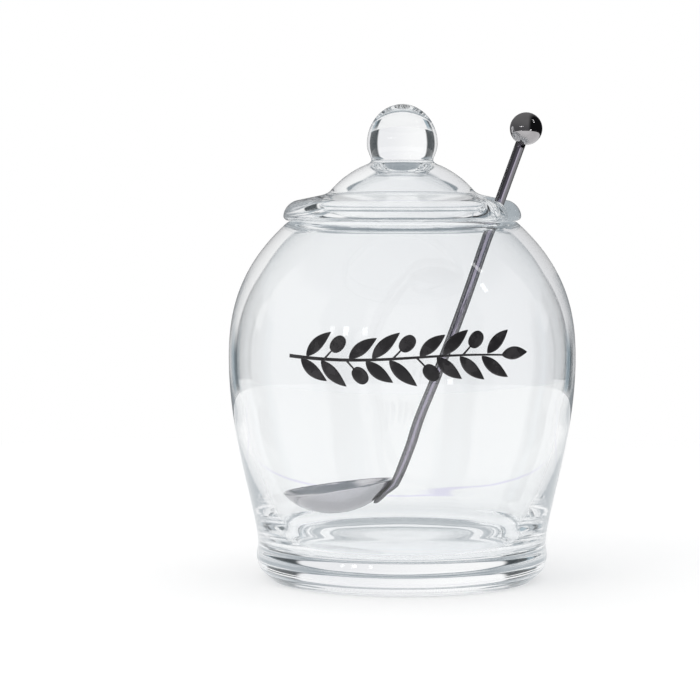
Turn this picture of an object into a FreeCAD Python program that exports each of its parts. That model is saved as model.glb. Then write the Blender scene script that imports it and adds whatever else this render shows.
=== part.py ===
import FreeCAD, Part

import math
import os

# Olive jar: a round-bellied glass jar on a thick solid foot, a one-piece domed
# glass lid with an egg-shaped knob and a spoon notch, and a steel spoon that
# leans in the jar with its rod out through the notch.
#
# Millimetres.  Z is the jar's axis and z = 0 is the face it stands on.  Every
# turned outline is drawn in the (radius, z) half plane and revolved about Z.

# ---------------------------------------------------------------- jar sizes
JAR_HEIGHT = 105.5  # foot to the top of the lip
BELLY_RADIUS = 51.1
BELLY_Z = 65.0
WAIST_RADIUS = 42.6  # slight pinch just above the foot
WAIST_Z = 10.5
FOOT_RADIUS = 43.0
FOOT_Z = 7.0  # height of the foot's widest ring
CONTACT_RADIUS = 38.6  # outer edge of the ring the jar stands on
CONTACT_WIDTH = 3.2
PUNT_HEIGHT = 1.6  # hollow under the foot
MOUTH_RADIUS = 30.0  # clear opening of the neck
LIP_OVERHANG = 4.9  # the shoulder ends this far outside the mouth
LIP_DROP = 1.5  # and this far below the lip
LIP_INNER_ROUND = 1.1
LIP_OUTER_ROUND = 2.5
THROAT_LENGTH = 0.9  # upright glass below the lip's inner round
SHOULDER_ANGLE = 136.9  # the shoulder's heading where it meets the lip
SHOULDER_WALL = 3.4
WALL = 2.3  # at the belly
HEEL_WALL = 3.2  # where the wall starts to thicken
HEEL_Z = 45.0
HEEL_LEAN = 10.9  # of the inner wall from upright there, degrees
FLARE_WALL = 5.6  # low in the thick heel
FLARE_Z = 20.4
FLARE_LEAN = 21.0
WELL_WALL = 6.35  # at the foot of the heel, above the floor's corner
WELL_Z = 16.1
WELL_LEAN = 15.3
WELL_ROUND = 9.1  # from the well's wall in to the edge of the floor
BASE_THICKNESS = 8.9  # solid glass under the middle of the floor
FLOOR_RISE = 0.3  # climb of the floor out to its edge

# ---------------------------------------------------------------- lid sizes
LID_SEAT_GAP = 0.05  # the lid's underside above the lip
LID_RADIUS = 34.95
RIM_THICKNESS = 5.95  # from the underside to the edge's upper round
RIM_TOP_SLOPE = 12.0  # degrees, falling outwards
RIM_TOP_ROUND = 4.0
RIM_UPRIGHT_Z = 1.5  # the edge's widest ring above the underside
RIM_BOTTOM_ROUND = 1.5
DOME_BALL_RADIUS = 27.7  # the dome is a cap of this ball
DOME_RISE = 18.6  # lip to the cap's top, were the cap whole
DOME_FOOT_RADIUS = 21.0  # the cap ends here and sweeps into the rim
DOME_SWEEP = 3.5  # radial length of that sweep
DOME_WALL = 3.8
KNOB_RADIUS = 10.4
KNOB_CROWN = 11.7  # the knob's height above its widest ring
KNOB_BELOW = 4.6  # and down to its neck
KNOB_MID_RISE = 22.5  # widest ring above the lip
NECK_RADIUS = 9.1
NECK_SWEEP = 2.4  # radial length of the sweep from neck to dome
PLUG_CLEARANCE = 1.9  # plug ring inside the mouth, all round
PLUG_THICKNESS = 3.0
PLUG_DEPTH = 3.1
PLUG_ROUND = 0.9
HOLLOW_BALL_SHARE = 0.71  # how far down the hollow follows its ball

# -------------------------------------------------------------- spoon sizes
SPOON_AZIMUTH = -20.0  # the spoon's upright plane, degrees from +X
ROD_DIAMETER = 3.0
BALL_DIAMETER = 9.4
BALL_SOCKET_DEPTH = 2.6  # how far the rod goes into the ball
SOCKET_CLEARANCE = 0.03
ROD_PASS_INSET = 1.1  # the rod's axis inside the mouth's radius, in the lid's rim
ROD_PASS_RISE = 2.5  # and the height above the lip where that holds
ROD_ABOVE = 25.9  # from there along the rod to the ball's middle
BOWL_LENGTH = 36.2
BOWL_WIDTH = 29.0
BOWL_DEPTH = 8.5
BOWL_TILT = 10.5  # the bowl's rim falls towards the tip, degrees
BOWL_SHEET = 0.9
BOWL_OFFSET = 21.1  # the bowl's middle from the jar's axis
BOWL_SEAT_GAP = 0.2  # above the glass it rests on
TAIL_LENGTH = 10.5  # the rod's flattened tail, welded under the bowl
TAIL_WIDTH = 4.6
TAIL_THICKNESS = 1.3
WELD_GAP = 0.03

# -------------------------------------------------------------- notch sizes
ROD_CLEARANCE = 2.0  # free space each side of the rod
NOTCH_BACK_CLEARANCE = 0.9  # behind the rod, where it is nearest the dome
NOTCH_MOUTH_ROUND = 2.4  # fire-polished corners at the rim

ORIGIN = FreeCAD.Vector(0, 0, 0)
UP = FreeCAD.Vector(0, 0, 1)
SIDEWAYS = FreeCAD.Vector(0, 1, 0)
QUARTER_PULL = 0.5523  # handle share that makes a cubic a quarter round


def at(radius, z):
    """A point of an outline."""
    return FreeCAD.Vector(radius, 0, z)


def heading(degrees):
    """Unit vector in the outline's plane, measured from +radius to +z."""
    angle = math.radians(degrees)
    return at(math.cos(angle), math.sin(angle))


def line(start, end):
    return Part.makeLine(at(*start), at(*end))


def sweep(start, leaving, end, arriving, pull_out=0.35, pull_in=0.35):
    """A cubic that leaves and arrives at set headings, in degrees.

    A pull is the length of a handle as a share of the straight distance.
    """
    first, last = at(*start), at(*end)
    reach = (last - first).Length
    curve = Part.BezierCurve()
    curve.setPoles([
        first,
        first + heading(leaving) * (reach * pull_out),
        last - heading(arriving) * (reach * pull_in),
        last,
    ])
    return curve.toShape()


def quarter(start, corner, end):
    """A quarter of an ellipse inside the right angle start, corner, end."""
    first, middle, last = at(*start), at(*corner), at(*end)
    curve = Part.BezierCurve()
    curve.setPoles([
        first,
        first + (middle - first) * QUARTER_PULL,
        last + (middle - last) * QUARTER_PULL,
        last,
    ])
    return curve.toShape()


def turned(edges):
    """The solid swept by a closed outline about the jar's axis."""
    return Part.Face(Part.Wire(edges)).revolve(ORIGIN, UP, 360)


# ---------------------------------------------------------------------- jar
def inside_flank(wall, height):
    """A point a wall's thickness inside the jar's flank, between waist and belly."""
    share = (height - WAIST_Z) / (BELLY_Z - WAIST_Z)
    return WAIST_RADIUS + (BELLY_RADIUS - WAIST_RADIUS) * share * 1.28 - wall, height


def cavity_edges():
    """The inside of the jar, from the middle of the floor up to the throat."""
    well = inside_flank(WELL_WALL, WELL_Z)
    flare = inside_flank(FLARE_WALL, FLARE_Z)
    heel_top = inside_flank(HEEL_WALL, HEEL_Z)
    floor_edge = (well[0] - WELL_ROUND, BASE_THICKNESS + FLOOR_RISE)
    floor_heading = 1.9 * math.degrees(math.atan2(FLOOR_RISE, floor_edge[0]))
    well_up = 90 - WELL_LEAN
    flare_up = 90 - FLARE_LEAN
    heel_up = 90 - HEEL_LEAN
    belly = (BELLY_RADIUS - WALL, BELLY_Z)
    shoulder_out = heading(SHOULDER_ANGLE - 90)
    shoulder_top = (
        MOUTH_RADIUS + LIP_OVERHANG - shoulder_out.x * SHOULDER_WALL,
        JAR_HEIGHT - LIP_DROP - shoulder_out.z * SHOULDER_WALL,
    )
    throat = (MOUTH_RADIUS, JAR_HEIGHT - LIP_INNER_ROUND - THROAT_LENGTH)
    return [
        sweep((0, BASE_THICKNESS), 0, floor_edge, floor_heading),
        sweep(floor_edge, floor_heading, well, well_up, 0.5, 0.5),
        sweep(well, well_up, flare, flare_up, 0.36, 0.36),
        sweep(flare, flare_up, heel_top, heel_up, 0.36, 0.36),
        sweep(heel_top, heel_up, belly, 90, 0.35, 0.42),
        sweep(belly, 90, shoulder_top, SHOULDER_ANGLE, 0.28, 0.46),
        sweep(shoulder_top, SHOULDER_ANGLE, throat, 90, 0.4, 0.3),
    ]


def jar():
    foot_inner = CONTACT_RADIUS - CONTACT_WIDTH
    foot = (FOOT_RADIUS, FOOT_Z)
    waist = (WAIST_RADIUS, WAIST_Z)
    belly = (BELLY_RADIUS, BELLY_Z)
    shoulder = (MOUTH_RADIUS + LIP_OVERHANG, JAR_HEIGHT - LIP_DROP)
    lip_outer = (shoulder[0] - LIP_OUTER_ROUND, JAR_HEIGHT)
    lip_inner = (MOUTH_RADIUS + LIP_INNER_ROUND, JAR_HEIGHT)
    throat_top = (MOUTH_RADIUS, JAR_HEIGHT - LIP_INNER_ROUND)
    throat = (MOUTH_RADIUS, throat_top[1] - THROAT_LENGTH)
    outside = [
        sweep((0, PUNT_HEIGHT), 0, (foot_inner, 0), -12, 0.5, 0.25),
        line((foot_inner, 0), (CONTACT_RADIUS, 0)),
        sweep((CONTACT_RADIUS, 0), 72, foot, 90, 0.13, 0.62),
        sweep(foot, 90, waist, 90, 0.45, 0.45),
        sweep(waist, 90, belly, 90, 0.145, 0.424),
        sweep(belly, 90, shoulder, SHOULDER_ANGLE, 0.277, 0.467),
        sweep(shoulder, SHOULDER_ANGLE, lip_outer, 180, 0.35, 0.35),
        line(lip_outer, lip_inner),
        quarter(lip_inner, (MOUTH_RADIUS, JAR_HEIGHT), throat_top),
        line(throat_top, throat),
    ]
    axis = line((0, BASE_THICKNESS), (0, PUNT_HEIGHT))
    return turned(outside + cavity_edges()[::-1] + [axis])


# ---------------------------------------------------------------------- lid
def lid_blank():
    """The lid before its notch is cut: rim, dome, knob and plug ring."""
    seat = JAR_HEIGHT + LID_SEAT_GAP
    ball_z = JAR_HEIGHT + DOME_RISE - DOME_BALL_RADIUS

    def on_ball(ball_radius, radius):
        """A point of the dome's ball and the slope there, in degrees."""
        angle = math.asin(radius / ball_radius)
        return (radius, ball_z + ball_radius * math.cos(angle)), math.degrees(angle)

    def ball_arc(ball_radius, inner, outer):
        middle = on_ball(ball_radius, (inner + outer) / 2)[0]
        ends = on_ball(ball_radius, inner)[0], on_ball(ball_radius, outer)[0]
        return Part.Arc(at(*ends[0]), at(*middle), at(*ends[1])).toShape()

    knob_mid = (KNOB_RADIUS, JAR_HEIGHT + KNOB_MID_RISE)
    knob_top = (0, knob_mid[1] + KNOB_CROWN)
    neck = (NECK_RADIUS, knob_mid[1] - KNOB_BELOW)
    dome_top, dome_top_slope = on_ball(DOME_BALL_RADIUS, NECK_RADIUS + NECK_SWEEP)
    dome_foot, dome_foot_slope = on_ball(DOME_BALL_RADIUS, DOME_FOOT_RADIUS)
    rim_edge = (LID_RADIUS, seat + RIM_UPRIGHT_Z)
    rim_top = (LID_RADIUS - RIM_TOP_ROUND, seat + RIM_THICKNESS)
    rim_inner_radius = DOME_FOOT_RADIUS + DOME_SWEEP
    rim_climb = (rim_top[0] - rim_inner_radius) * math.tan(math.radians(RIM_TOP_SLOPE))
    rim_inner = (rim_inner_radius, rim_top[1] + rim_climb)

    plug_outer = MOUTH_RADIUS - PLUG_CLEARANCE
    plug_inner = plug_outer - PLUG_THICKNESS
    plug_foot = seat - PLUG_DEPTH
    hollow_ball = DOME_BALL_RADIUS - DOME_WALL
    hollow_crown = ball_z + hollow_ball
    hollow_end, hollow_slope = on_ball(hollow_ball, HOLLOW_BALL_SHARE * hollow_ball)

    outside = [
        quarter(knob_top, (KNOB_RADIUS, knob_top[1]), knob_mid),
        sweep(knob_mid, -90, neck, -90, 0.45, 0.12),
        sweep(neck, -90, dome_top, -dome_top_slope, 0.35, 0.35),
        ball_arc(DOME_BALL_RADIUS, dome_top[0], dome_foot[0]),
        sweep(dome_foot, -dome_foot_slope, rim_inner, -RIM_TOP_SLOPE),
        line(rim_inner, rim_top),
        sweep(rim_top, -RIM_TOP_SLOPE, rim_edge, -90, 0.42, 0.42),
        quarter(rim_edge, (LID_RADIUS, seat), (LID_RADIUS - RIM_BOTTOM_ROUND, seat)),
        line((LID_RADIUS - RIM_BOTTOM_ROUND, seat), (plug_outer, seat)),
    ]
    plug = [
        line((plug_outer, seat), (plug_outer, plug_foot + PLUG_ROUND)),
        quarter(
            (plug_outer, plug_foot + PLUG_ROUND),
            (plug_outer, plug_foot),
            (plug_outer - PLUG_ROUND, plug_foot),
        ),
        line((plug_outer - PLUG_ROUND, plug_foot), (plug_inner + PLUG_ROUND, plug_foot)),
        quarter(
            (plug_inner + PLUG_ROUND, plug_foot),
            (plug_inner, plug_foot),
            (plug_inner, plug_foot + PLUG_ROUND),
        ),
    ]
    hollow = [
        sweep((plug_inner, plug_foot + PLUG_ROUND), 90, hollow_end, 180 - hollow_slope),
        ball_arc(hollow_ball, hollow_end[0], 0),
        line((0, hollow_crown), knob_top),
    ]
    return turned(outside + plug + hollow)


def notch_tool(back):
    """Upright cutter for the notch: round at its back, flared at its mouth.

    The back is the least distance of the notch from the jar's axis.
    """
    half = ROD_DIAMETER / 2 + ROD_CLEARANCE
    z = JAR_HEIGHT - PLUG_DEPTH - 1
    beyond = LID_RADIUS + NOTCH_MOUTH_ROUND
    flare_y = half + NOTCH_MOUTH_ROUND
    flare_x = math.sqrt((LID_RADIUS - NOTCH_MOUTH_ROUND) ** 2 - flare_y ** 2)

    def side(sign):
        """Corners of one side: slot's start, flare's start, middle and end."""
        centre = FreeCAD.Vector(flare_x, sign * flare_y, 0)
        inward = FreeCAD.Vector(0, -sign, 0)
        outward = FreeCAD.Vector(centre).normalize()
        bisector = (inward + outward).normalize()
        corners = [FreeCAD.Vector(back + half, sign * half, 0)]
        corners += [centre + way * NOTCH_MOUTH_ROUND for way in (inward, bisector, outward)]
        return [corner + UP * z for corner in corners]

    left, right = side(1), side(-1)
    left_out, right_out = [FreeCAD.Vector(beyond, end[3].y, z) for end in (left, right)]
    edges = [
        Part.Arc(right[0], FreeCAD.Vector(back, 0, z), left[0]).toShape(),
        Part.makeLine(left[0], left[1]),
        Part.Arc(*left[1:]).toShape(),
        Part.makeLine(left[3], left_out),
        Part.makeLine(left_out, right_out),
        Part.makeLine(right_out, right[3]),
        Part.Arc(*right[:0:-1]).toShape(),
        Part.makeLine(right[1], right[0]),
    ]
    height = PLUG_DEPTH + RIM_THICKNESS + RIM_TOP_ROUND + 2
    return Part.Face(Part.Wire(edges)).extrude(UP * height)


def lid(back):
    """The lid with its notch in the spoon's plane."""
    tool = notch_tool(back)
    tool.rotate(ORIGIN, UP, SPOON_AZIMUTH)
    return lid_blank().cut(tool)


# -------------------------------------------------------------------- spoon
# The spoon is drawn in its own upright plane, x outwards and z up, and turned
# to its azimuth at the end.
BOWL_BALL = (BOWL_WIDTH ** 2 / 4 + BOWL_DEPTH ** 2) / (2 * BOWL_DEPTH)
BOWL_STRETCH = BOWL_LENGTH / BOWL_WIDTH
BOWL_OPENING = math.asin(BOWL_WIDTH / 2 / BOWL_BALL)


def bowl_point(angle, around=0.0):
    """A point outside the bowl, from its bottom (0) to its rim (BOWL_OPENING)."""
    out = BOWL_BALL * math.sin(angle)
    return FreeCAD.Vector(
        BOWL_STRETCH * out * math.cos(around),
        out * math.sin(around),
        BOWL_BALL - BOWL_DEPTH - BOWL_BALL * math.cos(angle),
    )


def bowl_placement():
    """Tilts the bowl and lowers it until it rests on the inside of the jar."""
    tilt = FreeCAD.Rotation(SIDEWAYS, -BOWL_TILT)
    inside = [point for edge in cavity_edges()[:4] for point in edge.discretize(40)]
    if inside[0].x > inside[-1].x:
        inside.reverse()

    def floor_under(radius):
        for low, high in zip(inside, inside[1:]):
            if low.x <= radius < high.x:
                return low.z + (high.z - low.z) * (radius - low.x) / (high.x - low.x)
        return inside[-1].z

    offset = FreeCAD.Vector(-BOWL_OFFSET, 0, 0)
    lift = -JAR_HEIGHT
    for ring in range(21):
        for spoke in range(25):
            point = bowl_point(BOWL_OPENING * ring / 20, math.pi * spoke / 24)
            point = tilt.multVec(point) + offset
            lift = max(lift, floor_under(math.hypot(point.x, point.y)) - point.z)
    return FreeCAD.Placement(offset + UP * (lift + BOWL_SEAT_GAP), tilt)


def spoon_bowl(placement):
    """A sheet dish of one thickness with a rounded rim, longer than it is wide."""
    middle = (0, BOWL_BALL - BOWL_DEPTH)
    inner_ball = BOWL_BALL - BOWL_SHEET
    inner_opening = math.acos(middle[1] / inner_ball)

    def on(ball, angle):
        return (ball * math.sin(angle), middle[1] - ball * math.cos(angle))

    outer = [on(BOWL_BALL, BOWL_OPENING * share) for share in (0, 0.5, 1)]
    inner = [on(inner_ball, inner_opening * share) for share in (1, 0.5, 0)]
    rim_top = ((outer[2][0] + inner[0][0]) / 2, BOWL_SHEET / 2)
    dish = turned([
        Part.Arc(*[at(*point) for point in outer]).toShape(),
        Part.Arc(at(*outer[2]), at(*rim_top), at(*inner[0])).toShape(),
        Part.Arc(*[at(*point) for point in inner]).toShape(),
        line(inner[2], outer[0]),
    ])
    stretch = FreeCAD.Matrix()
    stretch.scale(BOWL_STRETCH, 1, 1)
    dish = dish.transformGeometry(stretch)
    dish.Placement = placement
    return dish


def rod_line(placement):
    """Where the straight rod ends at the bowl, and its heading up the jar."""
    rim_end = placement.multVec(bowl_point(BOWL_OPENING))
    crossing = at(MOUTH_RADIUS - ROD_PASS_INSET, JAR_HEIGHT + ROD_PASS_RISE)
    foot = rim_end
    for _ in range(5):
        up_rod = (crossing - foot).normalize()
        outward = at(up_rod.z, -up_rod.x)
        foot = rim_end + outward * (ROD_DIAMETER / 2 + WELD_GAP)
    return foot, crossing, up_rod


def oval(middle, along, half_width, half_thickness):
    """A closed oval across a heading that lies in the spoon's plane."""
    across = at(along.z, -along.x)
    if half_width - half_thickness < 1e-6:
        return Part.Wire(Part.Circle(middle, along, half_width).toShape())
    side = middle + SIDEWAYS * half_width
    curve = Part.Ellipse(side, middle + across * half_thickness, middle)
    return Part.Wire(curve.toShape())


def spoon_rod(placement):
    """The straight rod, drawn out flat below the bowl's rim."""
    foot, crossing, up_rod = rod_line(placement)
    half = ROD_DIAMETER / 2
    length = (crossing - foot).Length + ROD_ABOVE - BALL_DIAMETER / 2 + BALL_SOCKET_DEPTH
    rod = Part.makeCylinder(half, length, foot, up_rod)

    steps = 6
    sections = [oval(foot, up_rod * -1, half, half)]
    tail_angle = TAIL_LENGTH / (BOWL_BALL * BOWL_STRETCH)
    for step in range(1, steps + 1):
        share = step / steps
        angle = BOWL_OPENING - tail_angle * share
        surface = placement.multVec(bowl_point(angle))
        nearby = placement.multVec(bowl_point(angle - 0.01))
        along = (nearby - surface).normalize()
        outward = at(-along.z, along.x)
        flat = min(1.0, 2 * share)
        taper = math.sqrt(max(0.0, 1 - ((share - 0.5) / 0.56) ** 2)) if share > 0.5 else 1
        thickness = half + (TAIL_THICKNESS / 2 - half) * flat
        width = (half + (TAIL_WIDTH / 2 - half) * flat) * taper
        middle = surface + outward * (thickness + WELD_GAP)
        sections.append(oval(middle, along, width, thickness))
    tail = Part.makeLoft(sections, True)
    return rod.fuse(tail).removeSplitter()


def spoon_ball(placement):
    """The ball that ends the rod, with the blind socket the rod sits in."""
    crossing, up_rod = rod_line(placement)[1:]
    middle = crossing + up_rod * ROD_ABOVE
    mouth = middle - up_rod * BALL_DIAMETER
    depth = BALL_DIAMETER / 2 + BALL_SOCKET_DEPTH + SOCKET_CLEARANCE
    socket = Part.makeCylinder(ROD_DIAMETER / 2 + SOCKET_CLEARANCE, depth, mouth, up_rod)
    return Part.makeSphere(BALL_DIAMETER / 2, middle, up_rod).cut(socket)


def notch_back(placement):
    """Least distance from the axis that the notch needs, for the leaning rod."""
    crossing, up_rod = rod_line(placement)[1:]
    drop = ROD_PASS_RISE + PLUG_DEPTH
    rod_back = crossing.x - (drop * up_rod.x + ROD_DIAMETER / 2) / up_rod.z
    return rod_back - NOTCH_BACK_CLEARANCE


# --------------------------------------------------------------------- parts
def main():
    seated = bowl_placement()
    spoon = {
        "spoon_bowl": spoon_bowl(seated),
        "spoon_rod": spoon_rod(seated),
        "spoon_ball": spoon_ball(seated),
    }
    for piece in spoon.values():
        piece.rotate(ORIGIN, UP, SPOON_AZIMUTH)
    pieces = {"jar": jar(), "lid": lid(notch_back(seated)), **spoon}

    os.makedirs("parts", exist_ok=True)
    for name, piece in pieces.items():
        piece.exportStep(f"parts/{name}.step")
        print(name, piece.isValid(), len(piece.Solids), round(piece.Volume, 1))


main()
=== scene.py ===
"""Lidded glass olive jar with its steel spoon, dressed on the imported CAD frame.

Shapes are drawn in millimetres and become metres in `skin`.
"""
import logging
import math
from collections.abc import Callable, Mapping, Sequence
from dataclasses import dataclass
from enum import Enum

import bmesh
import bpy
import numpy as np
from mathutils import Matrix, Vector


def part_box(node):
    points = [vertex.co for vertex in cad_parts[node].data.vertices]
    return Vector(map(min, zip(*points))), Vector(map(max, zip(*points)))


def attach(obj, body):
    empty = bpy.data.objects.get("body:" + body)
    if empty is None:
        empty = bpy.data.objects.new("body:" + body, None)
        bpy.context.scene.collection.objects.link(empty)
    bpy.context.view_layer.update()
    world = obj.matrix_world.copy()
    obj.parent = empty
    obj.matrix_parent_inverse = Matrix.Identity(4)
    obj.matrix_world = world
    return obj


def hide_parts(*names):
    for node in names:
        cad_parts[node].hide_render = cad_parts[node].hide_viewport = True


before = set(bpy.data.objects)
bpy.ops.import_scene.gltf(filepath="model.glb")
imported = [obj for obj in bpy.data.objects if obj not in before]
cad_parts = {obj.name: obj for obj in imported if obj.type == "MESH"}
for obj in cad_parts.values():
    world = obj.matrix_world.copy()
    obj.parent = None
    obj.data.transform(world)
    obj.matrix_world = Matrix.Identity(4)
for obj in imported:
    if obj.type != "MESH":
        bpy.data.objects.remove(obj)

log = logging.getLogger("olive_jar")

MM = 0.001
BODY = "root"
QUARTER_PULL = 0.5523

Array = np.ndarray
Point = tuple[float, float]
Point3 = tuple[float, float, float]
Colour = tuple[float, float, float]
Span = tuple[float, float]
Node = bpy.types.Node
Socket = bpy.types.NodeSocket
Section = tuple[Vector, Vector, float, float]

EVEN: Point3 = (1.0, 1.0, 1.0)
WHITE: Colour = (1.0, 1.0, 1.0)


class Slot(Enum):
    """The record's material slots."""

    JAR_GLASS = "jar_glass"
    LID_GLASS = "lid_glass"
    STEEL = "spoon_steel"
    PRINT = "jar_print"


# ------------------------------------------------------------------- shapes
def node_box(node: str) -> tuple[Vector, Vector]:
    """Find a CAD node's box at rest.

    Args:
        node: The node's name.

    Returns:
        Its lowest and highest corner, in millimetres.
    """
    low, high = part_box(node)
    return Vector(low) / MM, Vector(high) / MM


class Outline:
    """The outline of a turned piece, grown edge by edge as (radius, height)."""

    def __init__(self, radius: float, height: float) -> None:
        """Start the outline at one point."""
        self.points: list[Point] = [(radius, height)]

    def line(self, end: Point, steps: int = 1) -> "Outline":
        """Add a straight edge.

        Args:
            end: Where it ends.
            steps: How many pieces it is divided into.

        Returns:
            The same outline.
        """
        start = np.array(self.points[-1])
        for share in np.linspace(0, 1, steps + 1)[1:]:
            self.points.append(tuple(start + (np.array(end) - start) * share))
        return self

    def cubic(self, handles: Sequence[Array], end: Point, steps: int) -> "Outline":
        """Add a cubic edge.

        Args:
            handles: Its two middle control points.
            end: Where it ends.
            steps: How many pieces it is divided into.

        Returns:
            The same outline.
        """
        first, last = np.array(self.points[-1]), np.array(end)
        for t in np.linspace(0, 1, steps + 1)[1:]:
            point = (
                (1 - t) ** 3 * first
                + 3 * t * (1 - t) ** 2 * handles[0]
                + 3 * t ** 2 * (1 - t) * handles[1]
                + t ** 3 * last
            )
            self.points.append(tuple(point))
        return self

    def sweep(
        self,
        leaving: float,
        end: Point,
        arriving: float,
        pulls: Point = (0.35, 0.35),
        steps: int = 24,
    ) -> "Outline":
        """Add a curve that leaves and arrives at set headings.

        Args:
            leaving: Heading at the start, in degrees from outwards to up.
            end: Where it ends.
            arriving: Heading at the end.
            pulls: Handle lengths as shares of the straight distance.
            steps: How many pieces it is divided into.

        Returns:
            The same outline.
        """
        first, last = np.array(self.points[-1]), np.array(end)
        reach = float(np.linalg.norm(last - first))
        out, into = math.radians(leaving), math.radians(arriving)
        handles = (
            first + np.array((math.cos(out), math.sin(out))) * reach * pulls[0],
            last - np.array((math.cos(into), math.sin(into))) * reach * pulls[1],
        )
        return self.cubic(handles, end, steps)

    def quarter(self, corner: Point, end: Point, steps: int = 10) -> "Outline":
        """Round a right-angled corner with a quarter of an ellipse.

        Args:
            corner: The corner that is rounded off.
            end: Where the round ends.
            steps: How many pieces it is divided into.

        Returns:
            The same outline.
        """
        first, middle, last = (np.array(p) for p in (self.points[-1], corner, end))
        handles = (
            first + (middle - first) * QUARTER_PULL,
            last + (middle - last) * QUARTER_PULL,
        )
        return self.cubic(handles, end, steps)

    def ball(self, centre: float, radius: float, end: float, steps: int = 24) -> "Outline":
        """Follow a ball whose middle is on the axis.

        Args:
            centre: Height of the ball's middle.
            radius: Its radius.
            end: Distance from the axis where the edge ends.
            steps: How many pieces it is divided into.

        Returns:
            The same outline.
        """
        start = math.asin(min(1.0, self.points[-1][0] / radius))
        for angle in np.linspace(start, math.asin(end / radius), steps + 1)[1:]:
            self.points.append((radius * math.sin(angle), centre + radius * math.cos(angle)))
        return self

    def array(self) -> Array:
        """The points as rows of an array."""
        return np.array(self.points)


class RingMesh:
    """A closed skin over rings of equally many points, with or without poles."""

    def __init__(self, rings: Array, poles: tuple[Array | None, Array | None]) -> None:
        """Keep the rings and the points that close the two ends.

        Args:
            rings: Points by ring, by column, by axis, in millimetres.
            poles: Closing points, or None where a ring is closed by a flat face.
        """
        self.rings = rings
        self.poles = poles

    @classmethod
    def turned(cls, outline: Outline, angles: Array) -> "RingMesh":
        """Turn an outline about Z.

        Args:
            outline: It starts and ends on the axis.
            angles: The columns' angles, in radians.

        Returns:
            The turned skin.
        """
        points = outline.array()
        inner = points[1:-1]
        rings = np.stack(
            [
                inner[:, :1] * np.cos(angles),
                inner[:, :1] * np.sin(angles),
                np.repeat(inner[:, 1:], len(angles), axis=1),
            ],
            axis=2,
        )
        ends = [np.array((0.0, 0.0, points[k][1])) for k in (0, -1)]
        return cls(rings, (ends[0], ends[1]))

    def moved(self, matrix: Matrix) -> "RingMesh":
        """The skin after a move, in millimetres.

        Args:
            matrix: The move.

        Returns:
            The moved skin.
        """
        turn = np.array(matrix.to_3x3())
        shift = np.array(matrix.translation)
        poles = tuple(None if p is None else p @ turn.T + shift for p in self.poles)
        return RingMesh(self.rings @ turn.T + shift, poles)

    def box_middle(self) -> Vector:
        """The middle of the skin's box."""
        flat = self.rings.reshape(-1, 3)
        return Vector((flat.min(axis=0) + flat.max(axis=0)) / 2)

    def faces(self) -> list[tuple[int, ...]]:
        """List the faces, rings first and then the ends.

        Returns:
            Each face, as point numbers.
        """
        count, columns = self.rings.shape[:2]
        column = np.arange(columns)
        following = (column + 1) % columns
        start = (np.arange(count - 1) * columns)[:, None]
        quads = np.stack(
            [start + column, start + columns + column,
             start + columns + following, start + following],
            axis=2,
        ).reshape(-1, 4)
        made: list[tuple[int, ...]] = [tuple(quad) for quad in quads.tolist()]
        apex = count * columns
        for base, pole in ((0, self.poles[0]), ((count - 1) * columns, self.poles[1])):
            ring = (base + column).tolist()
            if pole is None:
                made.append(tuple(ring))
            else:
                made += [(a, b, apex) for a, b in zip(ring, ring[1:] + ring[:1])]
                apex += 1
        return made

    def build(self, name: str, slot: Slot, finish: "Finish") -> bpy.types.Object:
        """Make the Blender object, dressed and riding on the body.

        Args:
            name: The piece's name.
            slot: The record's slot, handed on to skin.
            finish: What it is made of.

        Returns:
            The new object.
        """
        points = [self.rings.reshape(-1, 3)]
        points += [pole[None, :] for pole in self.poles if pole is not None]
        return skin(name, np.concatenate(points), self.faces(), slot, finish)


def skin(
    name: str,
    points: Array,
    faces: Sequence[Sequence[int]],
    slot: Slot,
    finish: "Finish",
) -> bpy.types.Object:
    """Make a smooth closed piece that rides on the body.

    Args:
        name: The piece's name.
        points: Its points, in millimetres.
        faces: Its faces, as point numbers.
        slot: Not used.
        finish: What it is made of.

    Returns:
        The new object.
    """
    mesh = bpy.data.meshes.new(name)
    mesh.from_pydata((points * MM).tolist(), [], faces)
    work = bmesh.new()
    work.from_mesh(mesh)
    bmesh.ops.recalc_face_normals(work, faces=work.faces)
    work.to_mesh(mesh)
    work.free()
    mesh.shade_smooth()
    mesh.materials.append(finish.material())
    piece = bpy.data.objects.new(name, mesh)
    bpy.context.scene.collection.objects.link(piece)
    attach(piece, BODY)
    log.info("%s: %d points, %d faces", name, len(mesh.vertices), len(mesh.polygons))
    return piece


def around(count: int) -> Array:
    """Evenly spaced angles of a full turn."""
    return np.linspace(0, 2 * math.pi, count, endpoint=False)


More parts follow.
